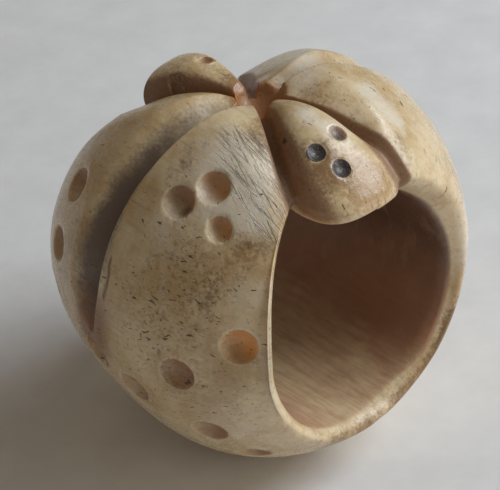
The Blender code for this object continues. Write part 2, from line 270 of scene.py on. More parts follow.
VALLEY_BACK_WIDTH = 3.6
VALLEY_SWEEP_LEFT = 2.1
VALLEY_SWEEP_RIGHT = -2.6
VALLEY_END = 93.0
VALLEY_TAPER = 14.0
DIP_DEPTH = 2.4
DIP_RADIUS = 4.2
GROOVE_GROWS = (1, 6)
GROOVE_WIDENS = (2, 10)
GROOVE_FADES = (8.5, 12.5)
LIP_FADES = (9.5, 13)
CHAMFER_FADES = (9, 12.5)
FACET_NARROWS = (4, 12)
BUD_SPREADS = (1.5, 7)


def groove_line(side, y):
    """A straight line out from the middle at the groove's angle, bent straight near the mouth."""
    front = np.where(side < 0, FRONT_LEFT_GROOVE, FRONT_RIGHT_GROOVE)
    rear = np.where(side < 0, BACK_LEFT_GROOVE, BACK_RIGHT_GROOVE)
    slope = np.tan(np.radians(np.where(y < FLOWER_BACK, front, rear)))
    over = np.logaddexp(0, (np.abs(y) - GROOVE_TURN) * TURN_SHARP) / TURN_SHARP
    reach = np.abs(y - FLOWER_BACK) - over
    return np.where(side < 0, LEFT_START, RIGHT_START) + reach * slope, slope


def valley_line(angle):
    """Where a side valley runs: near y = 0 on top, swept back on the left as it goes down."""
    down = np.degrees(np.abs(angle))
    left = FLOWER_BACK + VALLEY_SWEEP_LEFT * ease(down, 3, 62)
    sideways = FLOWER_BACK + VALLEY_SWEEP_RIGHT * ease(down, 3, 45)
    return np.where(angle < 0, left, sideways) * (1 - ease(down, 120, 178))


def quadrant(side, y, front_left, front_right, back_left, back_right):
    """One of four values, by which lobe a point is on or beside."""
    front = np.where(side < 0, front_left, front_right)
    return np.where(y < FLOWER_BACK, front, np.where(side < 0, back_left, back_right))


def carving(x, y, z, angle):
    """Depth of the carving, and three masks for the finish: groove, chamfer and valley.

    A groove's bud side falls as a superellipse across the bud, and its lobe side is a steep
    step plus a long shallow one. A valley is a steep step to the front and a long one to the
    back, cut off by a root near its end. The dip round the middle is a bell added to them all.
    """
    out = np.hypot(x, y - FLOWER_BACK)
    top = ease(z, -1, 3)
    line, slope = groove_line(angle, y)
    past = (np.abs(x) - line) / np.hypot(1, slope)

    grown = ease(out, *GROOVE_GROWS)
    fade = 1 - quadrant(angle, y, 0.35, 0.75, 0.35, 0.35) * ease(out, *GROOVE_FADES)
    depth = GROOVE_DEPTH_INNER + (GROOVE_DEPTH_OUTER - GROOVE_DEPTH_INNER) * grown * fade
    depth = depth + quadrant(angle, y, 0, 0, 0, BACK_RIGHT_EXTRA) * grown
    depth = depth * (1 - quadrant(angle, y, 0, LIP_FADE, 0, 0) * ease(out, *LIP_FADES))
    half = GROOVE_HALF_INNER + (GROOVE_HALF_OUTER - GROOVE_HALF_INNER) * ease(out, *GROOVE_WIDENS)
    share = quadrant(angle, y, FRONT_LEFT_SHARE, FRONT_RIGHT_SHARE,
                     BACK_LEFT_SHARE, BACK_RIGHT_SHARE)
    pointed = quadrant(angle, y, TIP_TAPER, 0.1, 0.1, 0.1)
    share = share * (1 - pointed * (1 - ease(out, *BUD_SPREADS)))
    across = np.clip(np.abs(x) / (line * share), 0, 1)
    full = quadrant(angle, y, BUD_FULLNESS, BUD_FULLNESS, BACK_BUD_FULLNESS, BUD_FULLNESS)
    bud = depth * (1 - (1 - across**full) ** (1 / full))

    chamfer_width = CHAMFER_WIDTH + CHAMFER_EXTRA * bump(out, 7.5, 4.0)
    facet_width = FACET_WIDTH - FACET_NARROWING * ease(out, *FACET_NARROWS)
    width = quadrant(angle, y, chamfer_width, facet_width,
                     chamfer_width, chamfer_width + BACK_RIGHT_WIDENING)
    drop = quadrant(angle, y, CHAMFER_DROP, FACET_DROP, CHAMFER_DROP, BACK_RIGHT_DROP)
    shallower = quadrant(angle, y, 0.5, 0.9, 0.5, 0.0) * ease(out, *CHAMFER_FADES)
    drop = drop * grown * (1 - shallower)
    drop = np.minimum(drop, depth)
    slide = np.clip((past - half * 0.7) / width, 0, 1)
    chamfer = (1 - slide) ** 1.4
    lobe = drop * chamfer + (depth - drop) * (1 - ease(past, 0.1, half))
    groove = np.where(past < 0, bud, lobe) * top

    down = np.degrees(np.abs(angle))
    middle = valley_line(angle)
    taper = np.sqrt(np.clip((VALLEY_END - down) / VALLEY_TAPER, 1e-4, 1))
    beyond = (y - middle) / taper
    front_wall = 1 - ease(-beyond, 0.25, VALLEY_FRONT_WIDTH)
    rise = np.clip((beyond - 0.2) / (VALLEY_BACK_WIDTH - 0.2), 0, 1)
    back_wall = np.where(angle < 0, 1 - rise**2 * (3 - 2 * rise), (1 - rise) ** 1.15)
    valley = VALLEY_DEPTH * taper * np.where(beyond < 0, front_wall, back_wall)
    valley = valley * ease(down, 2, 16) * (down < VALLEY_END)
    near_line = 1 - ease(np.abs(y - middle), 0.2, 0.8)
    start = GROOVE_DEPTH_INNER * near_line * (down < 30) * top

    dip = DIP_DEPTH * np.exp(-((out / DIP_RADIUS) ** 2)) * top
    knob = KNOB_SWELL * bump(y, KNOB_MIDDLE, KNOB_LENGTH) * (1 - across**4) * (past < 0) * top
    total = np.maximum.reduce([groove, valley, start]) + dip - knob
    in_groove = np.where(past < 0, ease(across, 0.52, 0.9),
                         1 - ease(past, half * 0.6, half * 1.5)) * top
    on_chamfer = np.where(past < 0, 0, chamfer) * top * (groove > valley)
    return total, in_groove, on_chamfer, valley / VALLEY_DEPTH


turns = np.linspace(-0.6, 0.6, 181)
row_radius = outside_radius(turns, 8.0)
depths = carving(row_radius * np.sin(turns), 8.0, row_radius * np.cos(turns), turns)[0]
print("deepest carving 8 mm behind the middle, mm:", depths.max().round(2))


# %% [markdown]
# Fanned columns
#
# A grid whose lines cross a crease makes saw teeth there. So the columns fan out: one of them
# follows each diagonal groove from the middle of the flower to the mouth, and the rest share the
# room on either side. Between the groove and the lower half, a cubic keeps the spacing smooth.

# %% Fan
FAN_ANGLE = np.radians(33.0)
FAN_END = np.radians(105.0)


def fanned(column, y):
    """The angle of a column at y: scaled up to the groove, and a Hermite cubic beyond it."""
    line, _ = groove_line(column, y)
    groove = np.arctan2(line, np.sqrt(np.maximum(BALL_RADIUS**2 - y**2 - line**2, 1)))
    squeeze = groove / FAN_ANGLE
    size = np.abs(column)
    span = FAN_END - FAN_ANGLE
    t = np.clip((size - FAN_ANGLE) / span, 0, 1)
    spread_out = (
        (2 * t**3 - 3 * t**2 + 1) * FAN_ANGLE * squeeze
        + (t**3 - 2 * t**2 + t) * span * squeeze
        + (3 * t**2 - 2 * t**3) * FAN_END
        + (t**3 - t**2) * span
    )
    inner = np.where(size < FAN_ANGLE, size * squeeze, spread_out)
    return np.sign(column) * np.where(size < FAN_END, inner, size)


def spread(count, low, high, density):
    """Values from low to high, closer where the density is higher: equal steps of its sum."""
    fine = np.linspace(low, high, 4001)
    total = np.cumsum(density(fine))
    total = (total - total[0]) / (total[-1] - total[0])
    return np.interp(np.linspace(0, 1, count), total, fine)


print("the groove's column at the front, degrees:", np.degrees(fanned(FAN_ANGLE, -12.0)).round(1))

# %% [markdown]
# Lips and bore
#
# The outside of the ball runs on to each lip, rolls over it with a small radius, and flares
# inward to the bore. The roll is one Bezier curve in the plane of the axis: it leaves along the
# outside's own direction and arrives along the bore. The front lip leans back at the upper left,
# and the small buds stand out over both mouths.

# %% Lips
BORE_RADIUS = 10.9
BORE_FLAT = 0.8
FLAT_MIDDLE = 1.0
FLAT_WIDTH = 0.55
FRONT_LIP = 13.3
FRONT_LEAN = 4.0
FRONT_SKEW = 0.35
BACK_LIP = 13.4
BACK_SWEEP = 0.5
SWEEP_MIDDLE = -1.05
SWEEP_WIDTH = 0.5
BACK_NOTCH = 1.6
BUD_LIP = 14.1
BACK_BUD_LIP = 11.7
BACK_GAP = 2.6
LIP_ROUND = 0.5
LIP_REACH = 0.75
LEFT_SHARP = 0.6
BUD_ROUND = 1.0
BUD_BLUNT = 0.75
FLARE_SLOPE = 1.15
FLARE_LEAST = 0.4
RIM_BLUNT = 0.8
RIM_ROLL = 1.1
RIM_CORNER = 0.9


def bore_radius(angle):
    """The bore's radius, less a bell at the upper right."""
    return BORE_RADIUS - BORE_FLAT * bump(angle, FLAT_MIDDLE, FLAT_WIDTH)


def front_lip(angle, bud):
    """Reach of the front lip: a plane leant back by a cosine squared, and the bud's round end."""
    lean = FRONT_LEAN * np.maximum(np.cos(angle), 0) ** 2 * ease(-angle, -0.35, 0.5)
    side = FRONT_LIP - lean + FRONT_SKEW * (np.maximum(-np.cos(angle), 0) - np.sin(angle))
    return side + (BUD_LIP - side) * bud**0.8


def back_lip(angle, bud):
    """Reach of the back lip: a plane with a notch at the top, and the bud's round end."""
    notch = BACK_NOTCH * ease(np.cos(angle), 0.7, 0.95)
    gap = BACK_GAP * bump(np.degrees(np.abs(angle)), 27, 14)
    swept = BACK_LIP + BACK_SWEEP * bump(angle, SWEEP_MIDDLE, SWEEP_WIDTH)
    side = swept - np.maximum(notch, gap)
    return side + (BACK_BUD_LIP - side) * bud**2


def blunt_rim(angle):
    """1 where the front lip is broad and round instead of flared, down its right side."""
    return ease(angle, 0.35, 0.85) * (1 - ease(angle, 2.3, 2.9))


def lip_curve(angle, lip, bud, rim, rows):
    """A cubic Bezier from the outside, along its slope, round to the start of the bore."""
    t = np.linspace(0, 1, rows + 2)[None, 1:-1]
    w0, w1, w2, w3 = (1 - t) ** 3, 3 * t * (1 - t) ** 2, 3 * t**2 * (1 - t), t**3
    y_out = lip - LIP_ROUND - BUD_ROUND * bud
    r_out = outside_radius(angle, y_out)
    slope = y_out / r_out
    roll = LIP_REACH * np.where(angle < 0, LEFT_SHARP, 1) + BUD_ROUND * bud + RIM_ROLL * rim
    y_roll = y_out + roll / np.hypot(1, slope)
    r_roll = r_out - roll * slope / np.hypot(1, slope)
    r_bore = bore_radius(angle)
    sloped = FLARE_SLOPE * (r_out - r_bore) * (1 - BUD_BLUNT * bud) * (1 - RIM_BLUNT * rim)
    flare = FLARE_LEAST + sloped + BUD_ROUND * bud
    y_bore = lip - flare
    y_under = y_bore + flare * (0.6 + 0.35 * bud)
    y = w0 * y_out + w1 * y_roll + w2 * y_under + w3 * y_bore
    r = w0 * r_out + w1 * r_roll + w2 * (r_bore + 0.1 + RIM_CORNER * rim) + w3 * r_bore
    return y, r, 1 - ease(t, 0.2, 1.0), y_out, y_bore


def placed(y, r, angle, depth):
    """Points round the bore, each drawn toward the middle of the ball by its depth."""
    points = np.stack([r * np.sin(angle), y + 0 * r, r * np.cos(angle)], axis=-1)
    size = np.linalg.norm(points, axis=-1, keepdims=True)
    return points * (1 - depth[..., None] / size)


wall = outside_radius(np.pi, FRONT_LIP) - bore_radius(np.pi)
print("wall at the bottom of the front lip, mm:", wall.round(2))

# %% [markdown]
# The whole skin
#
# One grid, closed both ways, is the whole carved bone: its columns go round the bore, and each
# row goes over the front lip, along the outside, over the back lip and back through the bore.
# So there is no seam and no pole. The rows are closer where the side valleys are steep. How far
# a lip reaches depends on its column's angle, and that angle depends on the reach, so the two
# are worked out in turn a few times until both settle.

# %% Skin
COLUMNS, OUTSIDE_ROWS, LIP_ROWS, BORE_ROWS = 470, 168, 12, 19
FIRST_REACH = 12.0
LIP_PASSES = 6


def bud_share(column, left, right):
    """1 in the middle of a small bud and 0 past its sides: a half circle over its width."""
    width = FAN_ANGLE * np.where(column < 0, left, right)
    return np.sqrt(np.clip(1 - (column / width) ** 2, 0, 1))


def row_density(v):
    """1 plus two bells: rows crowd on to the steep and the gentle wall of the valleys."""
    return 1 + 2.2 * bump(v, 0.0, 0.06) + 0.9 * bump(v, 0.12, 0.16)


def column_density(a):
    """1 plus three bells: columns crowd on to the grooves, the top and the left valley."""
    return (1 + 1.6 * bump(np.abs(a), FAN_ANGLE + 0.05, 0.16) + 0.4 * bump(a, 0, 0.4)
            + 0.35 * bump(a, -1.1, 0.9))


def carved_grid(columns):
    """Points of the skin and its masks, both as arrays of columns by rows."""
    column = columns[:, None]
    front_bud = bud_share(column, FRONT_LEFT_SHARE, FRONT_RIGHT_SHARE)
    rear_bud = bud_share(column, BACK_LEFT_SHARE, BACK_RIGHT_SHARE)
    front = np.full_like(column, FIRST_REACH)
    rear = np.full_like(column, FIRST_REACH)
    for _ in range(LIP_PASSES):
        front_angle = fanned(column, LIP_ROUND - front)
        rear_angle = fanned(column, rear - LIP_ROUND)
        front = front_lip(front_angle, front_bud)
        rear = back_lip(rear_angle, rear_bud)
    rim = blunt_rim(front_angle)
    fy, fr, f_fade, f_out, f_bore = lip_curve(front_angle, front, front_bud, rim, LIP_ROWS)
    by, br, b_fade, b_out, b_bore = lip_curve(rear_angle, rear, rear_bud, 0, LIP_ROWS)

    along = spread(OUTSIDE_ROWS, -1, 1, row_density)[None, :]
    y = np.where(along < 0, f_out, b_out) * along
    y = y + (1 - along**2) ** 2 * valley_line(fanned(column, y))
    angle = fanned(column, y)
    r = outside_radius(angle, y)
    depth, groove, chamfer, valley = carving(r * np.sin(angle), y, r * np.cos(angle), angle)
    outside = placed(y, r, angle, depth)
    front_skin = placed(-fy, fr, front_angle, depth[:, :1] * f_fade)[:, ::-1]
    rear_skin = placed(by, br, rear_angle, depth[:, -1:] * b_fade)

    through = np.linspace(0, 1, BORE_ROWS)[None, :]
    bore_angle = rear_angle + (front_angle - rear_angle) * through
    bore_y = b_bore - (b_bore + f_bore) * through
    bore = placed(bore_y, bore_radius(bore_angle), bore_angle, 0 * bore_y)

    front_part = np.repeat(f_fade, len(columns), axis=0)[:, ::-1]
    rear_part = np.repeat(b_fade, len(columns), axis=0)
    inside = np.zeros((len(columns), BORE_ROWS))
    masks = {}
    for name, values in (("groove", groove), ("chamfer", chamfer), ("valley", valley)):
        ends = [values[:, :1] * front_part, values, values[:, -1:] * rear_part, inside]
        masks[name] = np.concatenate(ends, axis=1)
    ends = [1 - front_part, 0 * y, 1 - rear_part, inside + 1]
    masks["bore"] = np.concatenate(ends, axis=1)
    points = np.concatenate([front_skin, outside, rear_skin, bore], axis=1)
    return points, masks


columns = spread(COLUMNS + 1, -np.pi, np.pi, column_density)[:-1]
skin, masks = carved_grid(columns)
print("skin grid:", skin.shape)

# %% [markdown]
# Drilled dots and the pit
#
# The carver turned a round-nosed bit on the spot for each dot, and went deeper in the middle of
# the flower, where a cord or an inlay sat. A dot is the cap of a ball: a point inside it keeps
# the lower of the skin and the cap. First the points nearest each rim are slid on to it, so
# that the rim is a clean circle whatever the grid does there.

# %% Dots
PIT_TURN = 1.7
PIT_BACK = 0.9
PIT_RADIUS = 2.1
PIT_DEPTH = 1.85
DOT_RADIUS = 1.6
DOT_DEPTH = 0.95
BUD_DOT_RADIUS = 0.85
BUD_DOT_DEPTH = 0.42
SLIDE_REACH = 0.11
DOT_LEVEL = 0.5
PIT_LEVEL = 3
FAR_OFF = 3.0
# Across each dot, toward the wall that faces the lamp: that wall is painted pale, as painted light.
LIT_WALL_SIDE = np.array([-0.81, 0.32, -0.49])

big = [(-77, -11.0), (-92, -6.5), (-117, -7.9), (-137, -9.3)]
big += [(-106, -1.3), (-102, 3.2), (-55, 9.4), (-76, 9.7), (-96, 10.6), (-170, -10.5)]
big += [(174, -12.0), (70, -6.4), (81, -4.8), (82, -8.8), (98, -11.0), (112, -6.5)]
big += [(58, 9.6), (76, 9.9), (95, 10.4), (116, 1.5), (138, -3.0), (150, 6.0)]
small = [(2, -8.2), (-8.3, -8.5), (-5.5, -10.5), (1.3, 7.1), (-11, 7.6)]
hollows = [(angle, y, DOT_RADIUS, DOT_DEPTH) for angle, y in big]
hollows += [(angle, y, BUD_DOT_RADIUS, BUD_DOT_DEPTH) for angle, y in small]
hollows += [(-36, -4.5, DOT_RADIUS * 0.92, DOT_DEPTH)]
hollows += [(-44, -2.6, DOT_RADIUS * 0.92, DOT_DEPTH)]
hollows += [(-45, -6.7, DOT_RADIUS * 0.7, DOT_DEPTH * 0.8)]
hollows += [(PIT_TURN, PIT_BACK, PIT_RADIUS, PIT_DEPTH)]


def skin_spot(degrees, y):
    """The point of the carved skin at an angle from the top and a distance along the bore."""
    angle = np.radians(degrees)
    r = outside_radius(angle, y)
    point = np.array([r * np.sin(angle), y, r * np.cos(angle)])
    out = point / np.linalg.norm(point)
    depth = carving(point[0], y, point[2], angle)[0]
    return point - out * min(depth, DIP_DEPTH), out


def drill(points, degrees, y, radius, deep):
    """Slides points on to the rim, then lowers those inside to the cap.

    The cap's ball has a radius of (radius squared plus depth squared) over twice the depth. Also
    returned are the distance from the middle and toward the dot's lit wall, both in radii; the
    second is used to paint that wall pale, as painted light.
    """
    spot, out = skin_spot(degrees, y)
    from_spot = points - spot
    height = from_spot @ out
    flat = from_spot - height[..., None] * out
    reach = np.linalg.norm(flat, axis=-1)
    level = PIT_LEVEL if radius == PIT_RADIUS else DOT_LEVEL
    near = (np.abs(reach - radius) < SLIDE_REACH) & (np.abs(height) < level)
    slide = np.where(near, (radius - reach) / np.maximum(reach, 0.01), 0)[..., None] * flat
    slid = points + slide
    slid = slid * (np.linalg.norm(points, axis=-1) / np.linalg.norm(slid, axis=-1))[..., None]
    height = (slid - spot) @ out
    reach = np.where(near, radius, reach)
    ball = (radius**2 + deep**2) / (2 * deep)
    cap = ball - deep - np.sqrt(np.maximum(ball**2 - reach**2, 0))
    inside = (reach < radius * 1.02) & (np.abs(height) < PIT_LEVEL)
    sink = np.where(inside, np.maximum(height - cap, 0), 0)
    near_reach = np.where(np.abs(height) < level, np.minimum(reach / radius, FAR_OFF), FAR_OFF)
    return slid - sink[..., None] * out, near_reach, (flat @ LIT_WALL_SIDE) / radius


# The third layer is how far a point sits toward its dot's lit wall; the finish paints that wall
# pale, as painted light.
for name, value in (("reach", FAR_OFF), ("pit_reach", FAR_OFF), ("lit_side", 0.0)):
    masks[name] = np.full(skin.shape[:2], value)
outer = masks["bore"] < 0.5
for hollow in hollows:
    lowered, reach, lit_side = drill(skin, *hollow)
    skin = np.where(outer[..., None], lowered, skin)
    name = "pit_reach" if hollow[2] == PIT_RADIUS else "reach"
    masks["lit_side"] = np.where(outer & (reach < masks["reach"]), lit_side, masks["lit_side"])
    masks[name] = np.where(outer, np.minimum(masks[name], reach), masks[name])
print("hollows:", len(hollows), "deepest, mm:", PIT_DEPTH)

# %% [markdown]
# Stains
#
# Old handled bone is not one colour. Sweat, oil and dirt settle where the fingers don't rub, and
# single marks come from the bone itself: a reddish vein, a yellow patch of grease, a crack. Some
# pale marks are painted light and one brown mark is painted shade, as said at each layer.
# Each mark is a soft oval, placed by its angle from the top and its distance along the bore. A
# mark's strength at a point is a bell of the distance to its middle, with a width across the
# grain and one along it, and the marks of one colour add up to a layer of numbers on the skin.

# %% Stains
ARC_RADIUS = 17.0
skin_angle = np.arctan2(skin[..., 0], skin[..., 2])
outer_skin = 1 - masks["bore"]
masks["arc"] = skin_angle * ARC_RADIUS
masks["along"] = skin[..., 1]


def mark(degrees, y, across, along, strength=1.0):
    """A soft oval on the skin: a bell of the arc across the grain and the distance along it."""
    turned = (skin_angle - np.radians(degrees) + np.pi) % (2 * np.pi) - np.pi
    arc = np.abs(turned) * ARC_RADIUS
    return strength * np.exp(-((arc / across) ** 2) - ((skin[..., 1] - y) / along) ** 2)


def layer(name, marks, where=1.0):
    """The sum of marks, each (degrees, y, across, along, strength), kept from 0 to 1."""
    masks[name] = np.clip(sum(mark(*each) for each in marks) * where, 0, 1)


# Brown marks are stains, except the first, (-9, -9.9), on the left flank of the front bud, which is
# painted shade.
layer("brown", [
    (-9, -9.9, 2.4, 2.6, 0.85), (-14, -4.5, 2.0, 2.4, 0.65), (8, -3.5, 3.0, 2.2, 0.5),
    (-9, 7.0, 3.4, 4.0, 0.35), (2, 1.0, 1.7, 1.7, 0.8), (-62, -8.4, 1.6, 0.9, 0.35),
    (6, 3.2, 2.2, 1.8, 0.8), (-2, 2.0, 1.3, 1.3, 0.7), (-45, -9.0, 1.6, 1.2, 0.4),
    (-41, -10.8, 1.3, 1.4, 0.45), (-52, -9.8, 1.4, 1.1, 0.25), (-66, -6.2, 3.5, 2.5, 0.35),
    (-34, -1.2, 2.6, 1.4, 0.35), (129, -13.6, 4.2, 1.6, 0.6), (-160, -13.2, 5.0, 1.6, 0.55),
    (24, -11.0, 1.1, 1.6, 0.4), (160, -12.6, 9.0, 1.5, 0.8), (125, -12.9, 6.0, 1.2, 0.6),
    (170, 8, 6, 5, 0.5), (70, 8, 4, 3, 0.4), (110, 4, 4, 4, 0.3), (-120, 8, 5, 4, 0.4)
], outer_skin)
# A dark grey-violet tone, strongest along the left valley, with one faint mark on the right.
layer("violet", [
    (-50, 3.4, 6.5, 1.6, 0.75), (-69, 3.9, 5.5, 1.8, 0.95), (-32, 2.6, 5.0, 1.2, 0.35),
    (-74, 7.5, 5.0, 2.4, 0.35), (55, 0.3, 5.0, 1.0, 0.3)
], outer_skin)
layer("red", [
    (-90, 3.4, 3.4, 1.9, 0.95), (-96, 2.4, 5.0, 3.6, 0.35), (-95, -6.0, 2.6, 2.0, 0.45),
    (-80, 1.0, 2.5, 6.0, 0.25), (95, -13.2, 1.3, 0.9, 0.45), (88, -12.9, 0.9, 0.6, 0.35)
], outer_skin)
layer("ochre", [
    (-4, -12.8, 3.5, 1.0, 0.35), (170, -12.5, 9.0, 1.8, 0.6), (-2, -10.8, 3.0, 1.8, 0.75),
    (0, -12.4, 3.4, 1.2, 0.6), (-100, -9.6, 5.0, 3.0, 0.45), (-50, -9.0, 3.6, 2.2, 0.42),
    (-78, -6.5, 7.0, 3.0, 0.25), (-84, -10.8, 3.0, 1.6, 0.4), (40, -8, 5, 3, 0.2),
    (120, -8, 6, 4, 0.35)
], outer_skin)
# Pale marks, among them painted light: (12, -1.2) and (22, 3.2) lighten places on the right front
# and right back lobes that lie in shade; (24, -6.2) and (27, -8.8) are a painted highlight on the
# right front lobe; (-34, -6.4) and (-52, -2.2) are painted light on the top of the left front lobe;
# (-95, -10.5) and (-115, -8.5) are painted light thrown up from the floor on the lower left.
layer("pale", [
    (12, -1.2, 2.6, 2.0, 0.6), (-52, -2.2, 5.0, 3.0, 0.45), (2, -8.2, 1.3, 1.3, 0.9),
    (-34, -6.4, 3.6, 2.4, 0.5), (-58, -10.6, 2.5, 1.6, 0.5), (22, 3.2, 3.0, 2.4, 0.3),
    (-95, -10.5, 6.0, 2.6, 0.35), (-115, -8.5, 6.0, 3.0, 0.3), (-26, -4.6, 3.6, 3.6, 0.85),
    (-38, -8.4, 2.0, 2.6, 0.6), (24, -6.2, 1.5, 2.0, 0.8), (27, -8.8, 1.2, 1.3, 0.6),
    (-1, -5.6, 1.0, 1.6, 0.8), (60, -6.0, 9.0, 5.0, 0.2), (84, -12.5, 7.0, 3.0, 0.8),
    (25, 1.0, 2.0, 3.0, 0.5)
], outer_skin)
layer("specks", [
    (-68, -5.0, 5.0, 3.6, 0.9), (-54, -5.0, 3.5, 3.0, 0.5), (-63, -8.3, 3.0, 1.2, 0.9),
    (-76, -2.6, 3.5, 2.0, 0.7), (-88, -6.0, 5.0, 3.5, 0.35), (-5, -13.2, 5.0, 0.8, 0.7),
    (-100, -9.0, 2.5, 2.5, 0.5), (22, -1.0, 3.0, 3.0, 0.35), (110, 2, 6, 5, 0.5),
    (-120, 2, 7, 5, 0.4), (60, 5, 5, 4, 0.4)
], outer_skin)
layer("scratches", [
    (-21, -4.0, 1.6, 2.4, 1.0), (-29, -7.2, 1.7, 2.4, 1.1), (-36, -10.2, 1.7, 2.2, 1.3),
    (-24, -5.0, 3.0, 2.6, 0.45), (30, -5.4, 2.2, 2.0, 0.3)
], outer_skin)
layer("dust", [
    (-8.3, -8.5, 1.2, 1.2, 1.3), (-5.5, -10.5, 1.2, 1.2, 1.3), (2, -8.2, 1.0, 1.0, 0.5),
    (-45.5, -3.2, 0.9, 0.7, 0.45)
])
layer("orange", [
    (-77, -11, 2.2, 2.2, 1.2), (-36, -4.5, 1.5, 1.5, 0.6), (-45, -6.7, 1.2, 1.2, 0.7)
])


def crack(points, width):
    """A thin line through points on the skin: 1 on it and 0 beyond its half width."""
    strength = np.zeros(skin.shape[:2])
    spots = np.array([skin_spot(*point)[0] for point in points])
    for start, end in zip(spots[:-1], spots[1:]):
        run = end - start
        share = np.clip(((skin - start) @ run) / (run @ run), 0, 1)
        gap = np.linalg.norm(skin - start - share[..., None] * run, axis=-1)
        strength = np.maximum(strength, 1 - ease(gap, width * 0.4, width))
    return strength


long_crack = crack([(-66, 1.4), (-72, 1.2), (-78, 1.3)], 0.17)
faint_crack = crack([(-85, -5.0), (-88, -5.1), (-92, -5.5)], 0.16)
masks["cracks"] = np.maximum(long_crack, 0.6 * faint_crack)
print("points clearly brown:", int((masks["brown"] > 0.3).sum()),
      "and clearly speckled:", int((masks["specks"] > 0.3).sum()))

# %% [markdown]
# Set the bone in its place
#
# The underside was rubbed flat so that the ball stands. Points below that plane are lifted on
# to it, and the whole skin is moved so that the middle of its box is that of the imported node.

# %% Place the bone
skin[..., 2] = np.maximum(skin[..., 2], -FOOT_DROP)
flat_skin = skin.reshape(-1, 3)
middle = (flat_skin.min(axis=0) + flat_skin.max(axis=0)) / 2
shift = np.array([*((node_low + node_high) / 2 - middle)[:2], FOOT_DROP])


def ring_faces(columns, rows):
    """Four-cornered faces of a grid that closes on itself both ways, facing out."""
    i = np.arange(columns)[:, None]
    j = np.arange(rows)[None, :]
    after, above = (i + 1) % columns, (j + 1) % rows
    corners = [i * rows + j, i * rows + above, after * rows + above, after * rows + j]
    return np.stack(corners, axis=-1).reshape(-1, 4)


bone = finish_mesh("bone_netsuke", (flat_skin + shift) * MM, ring_faces(*skin.shape[:2]))
for name, values in masks.items():
    stored = bone.data.attributes.new(name, "FLOAT", "POINT")
    stored.data.foreach_set("value", values.astype(np.float32).ravel())
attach(bone, "root")
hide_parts("carved_bone")
print("faces:", len(bone.data.polygons), "shift, mm:", shift.round(3))

# %% [markdown]
# Small helpers for the finish
#
# The finish is built from a few kinds of node over and over, so each gets a short helper: a
# number layer of the skin, a sum or product, a blend of two colours, and noise or cells whose
# lengths are in millimetres. All patterns are fixed to the bone itself.

# %% Finish helpers
ivory = bpy.data.materials.new("polished_bone")
ivory.use_nodes = True
tree = ivory.node_tree
shader = tree.nodes["Principled BSDF"]


def plug(socket, value):
    """Joins an output to a socket, or writes a plain number, vector or colour on it."""
    if isinstance(value, bpy.types.NodeSocket):
        tree.links.new(value, socket)
    elif isinstance(value, tuple) and len(value) == 3 and socket.type == "RGBA":
        socket.default_value = (*value, 1)
    else:
        socket.default_value = value


def sums(operation, a, b=0.0, c=0.0, clamp=False):
    """One Math node: the operation on up to three numbers."""
    node = tree.nodes.new("ShaderNodeMath")
    node.operation = operation
    node.use_clamp = clamp
    for socket, value in zip(node.inputs, (a, b, c)):
        plug(socket, value)
    return node.outputs[0]


def times(*values):
    """The product of all the values."""
    result = values[0]
    for value in values[1:]:
        result = sums("MULTIPLY", result, value)
    return result


def step(value, low, high, start=0.0, end=1.0):
    """Start below low, end above high and a smooth rise between."""
    node = tree.nodes.new("ShaderNodeMapRange")
    node.interpolation_type = "SMOOTHSTEP"
    for socket, number in zip(node.inputs, (value, low, high, start, end)):
        plug(socket, number)
    return node.outputs[0]


def blend(amount, first, second):
    """The first colour where the amount is 0 and the second where it is 1."""
    node = tree.nodes.new("ShaderNodeMix")
    node.data_type = "RGBA"
    node.clamp_factor = True
    plug(node.inputs["Factor"], amount)
    plug(node.inputs[6], first)
    plug(node.inputs[7], second)
    return node.outputs[2]


def number_layer(name):
    """A layer of numbers that the skin carries, by its name."""
    node = tree.nodes.new("ShaderNodeAttribute")
    node.attribute_name = name
    return node.outputs["Fac"]


def moved(operation, a, b):
    """One Vector Math node: a number for a dot product, and a vector for the rest."""
    node = tree.nodes.new("ShaderNodeVectorMath")
    node.operation = operation
    plug(node.inputs[0], a)
    plug(node.inputs[3] if operation == "SCALE" else node.inputs[1], b)
    return node.outputs["Value"] if operation == "DOT_PRODUCT" else node.outputs[0]


def noise(place, per_mm, detail, rough):
    """Noise from 0 to 1: waves per mm, the number of finer layers, and their strength."""
    node = tree.nodes.new("ShaderNodeTexNoise")
    for name, value in (("Vector", place), ("Scale", per_mm), ("Detail", detail),
                        ("Roughness", rough)):
        plug(node.inputs[name], value)
    return node.outputs["Fac"]


def cells(place, per_mm):
    """Distance to the nearest of many scattered points, and two random numbers of that point."""
    node = tree.nodes.new("ShaderNodeTexVoronoi")
    node.voronoi_dimensions = "2D"
    plug(node.inputs["Vector"], place)
    plug(node.inputs["Scale"], per_mm)
    split = tree.nodes.new("ShaderNodeSeparateColor")
    tree.links.new(node.outputs["Color"], split.inputs[0])
    return node.outputs["Distance"], split.outputs[0], split.outputs[1]


in_mm = moved("SCALE", tree.nodes.new("ShaderNodeTexCoord").outputs["Object"], 1000.0)
on_skin = tree.nodes.new("ShaderNodeCombineXYZ")
plug(on_skin.inputs[0], number_layer("arc"))
plug(on_skin.inputs[1], number_layer("along"))
groove, chamfer, valley = number_layer("groove"), number_layer("chamfer"), number_layer("valley")
bore, reach, pit_reach = number_layer("bore"), number_layer("reach"), number_layer("pit_reach")
print("layers on the skin:", ", ".join(sorted(masks)))

# %% [markdown]
# Colour of the bone
#
# Polished bone is cream with clouds of buff a few millimetres wide and thin streaks along the
# grain, which here runs along the bore. The marks of the previous step tint it, stains as well as
# painted light and painted shade; the carving holds brown dirt, and each colour keeps a ragged
# edge, because its layer is pushed up and down by noise before it is used.

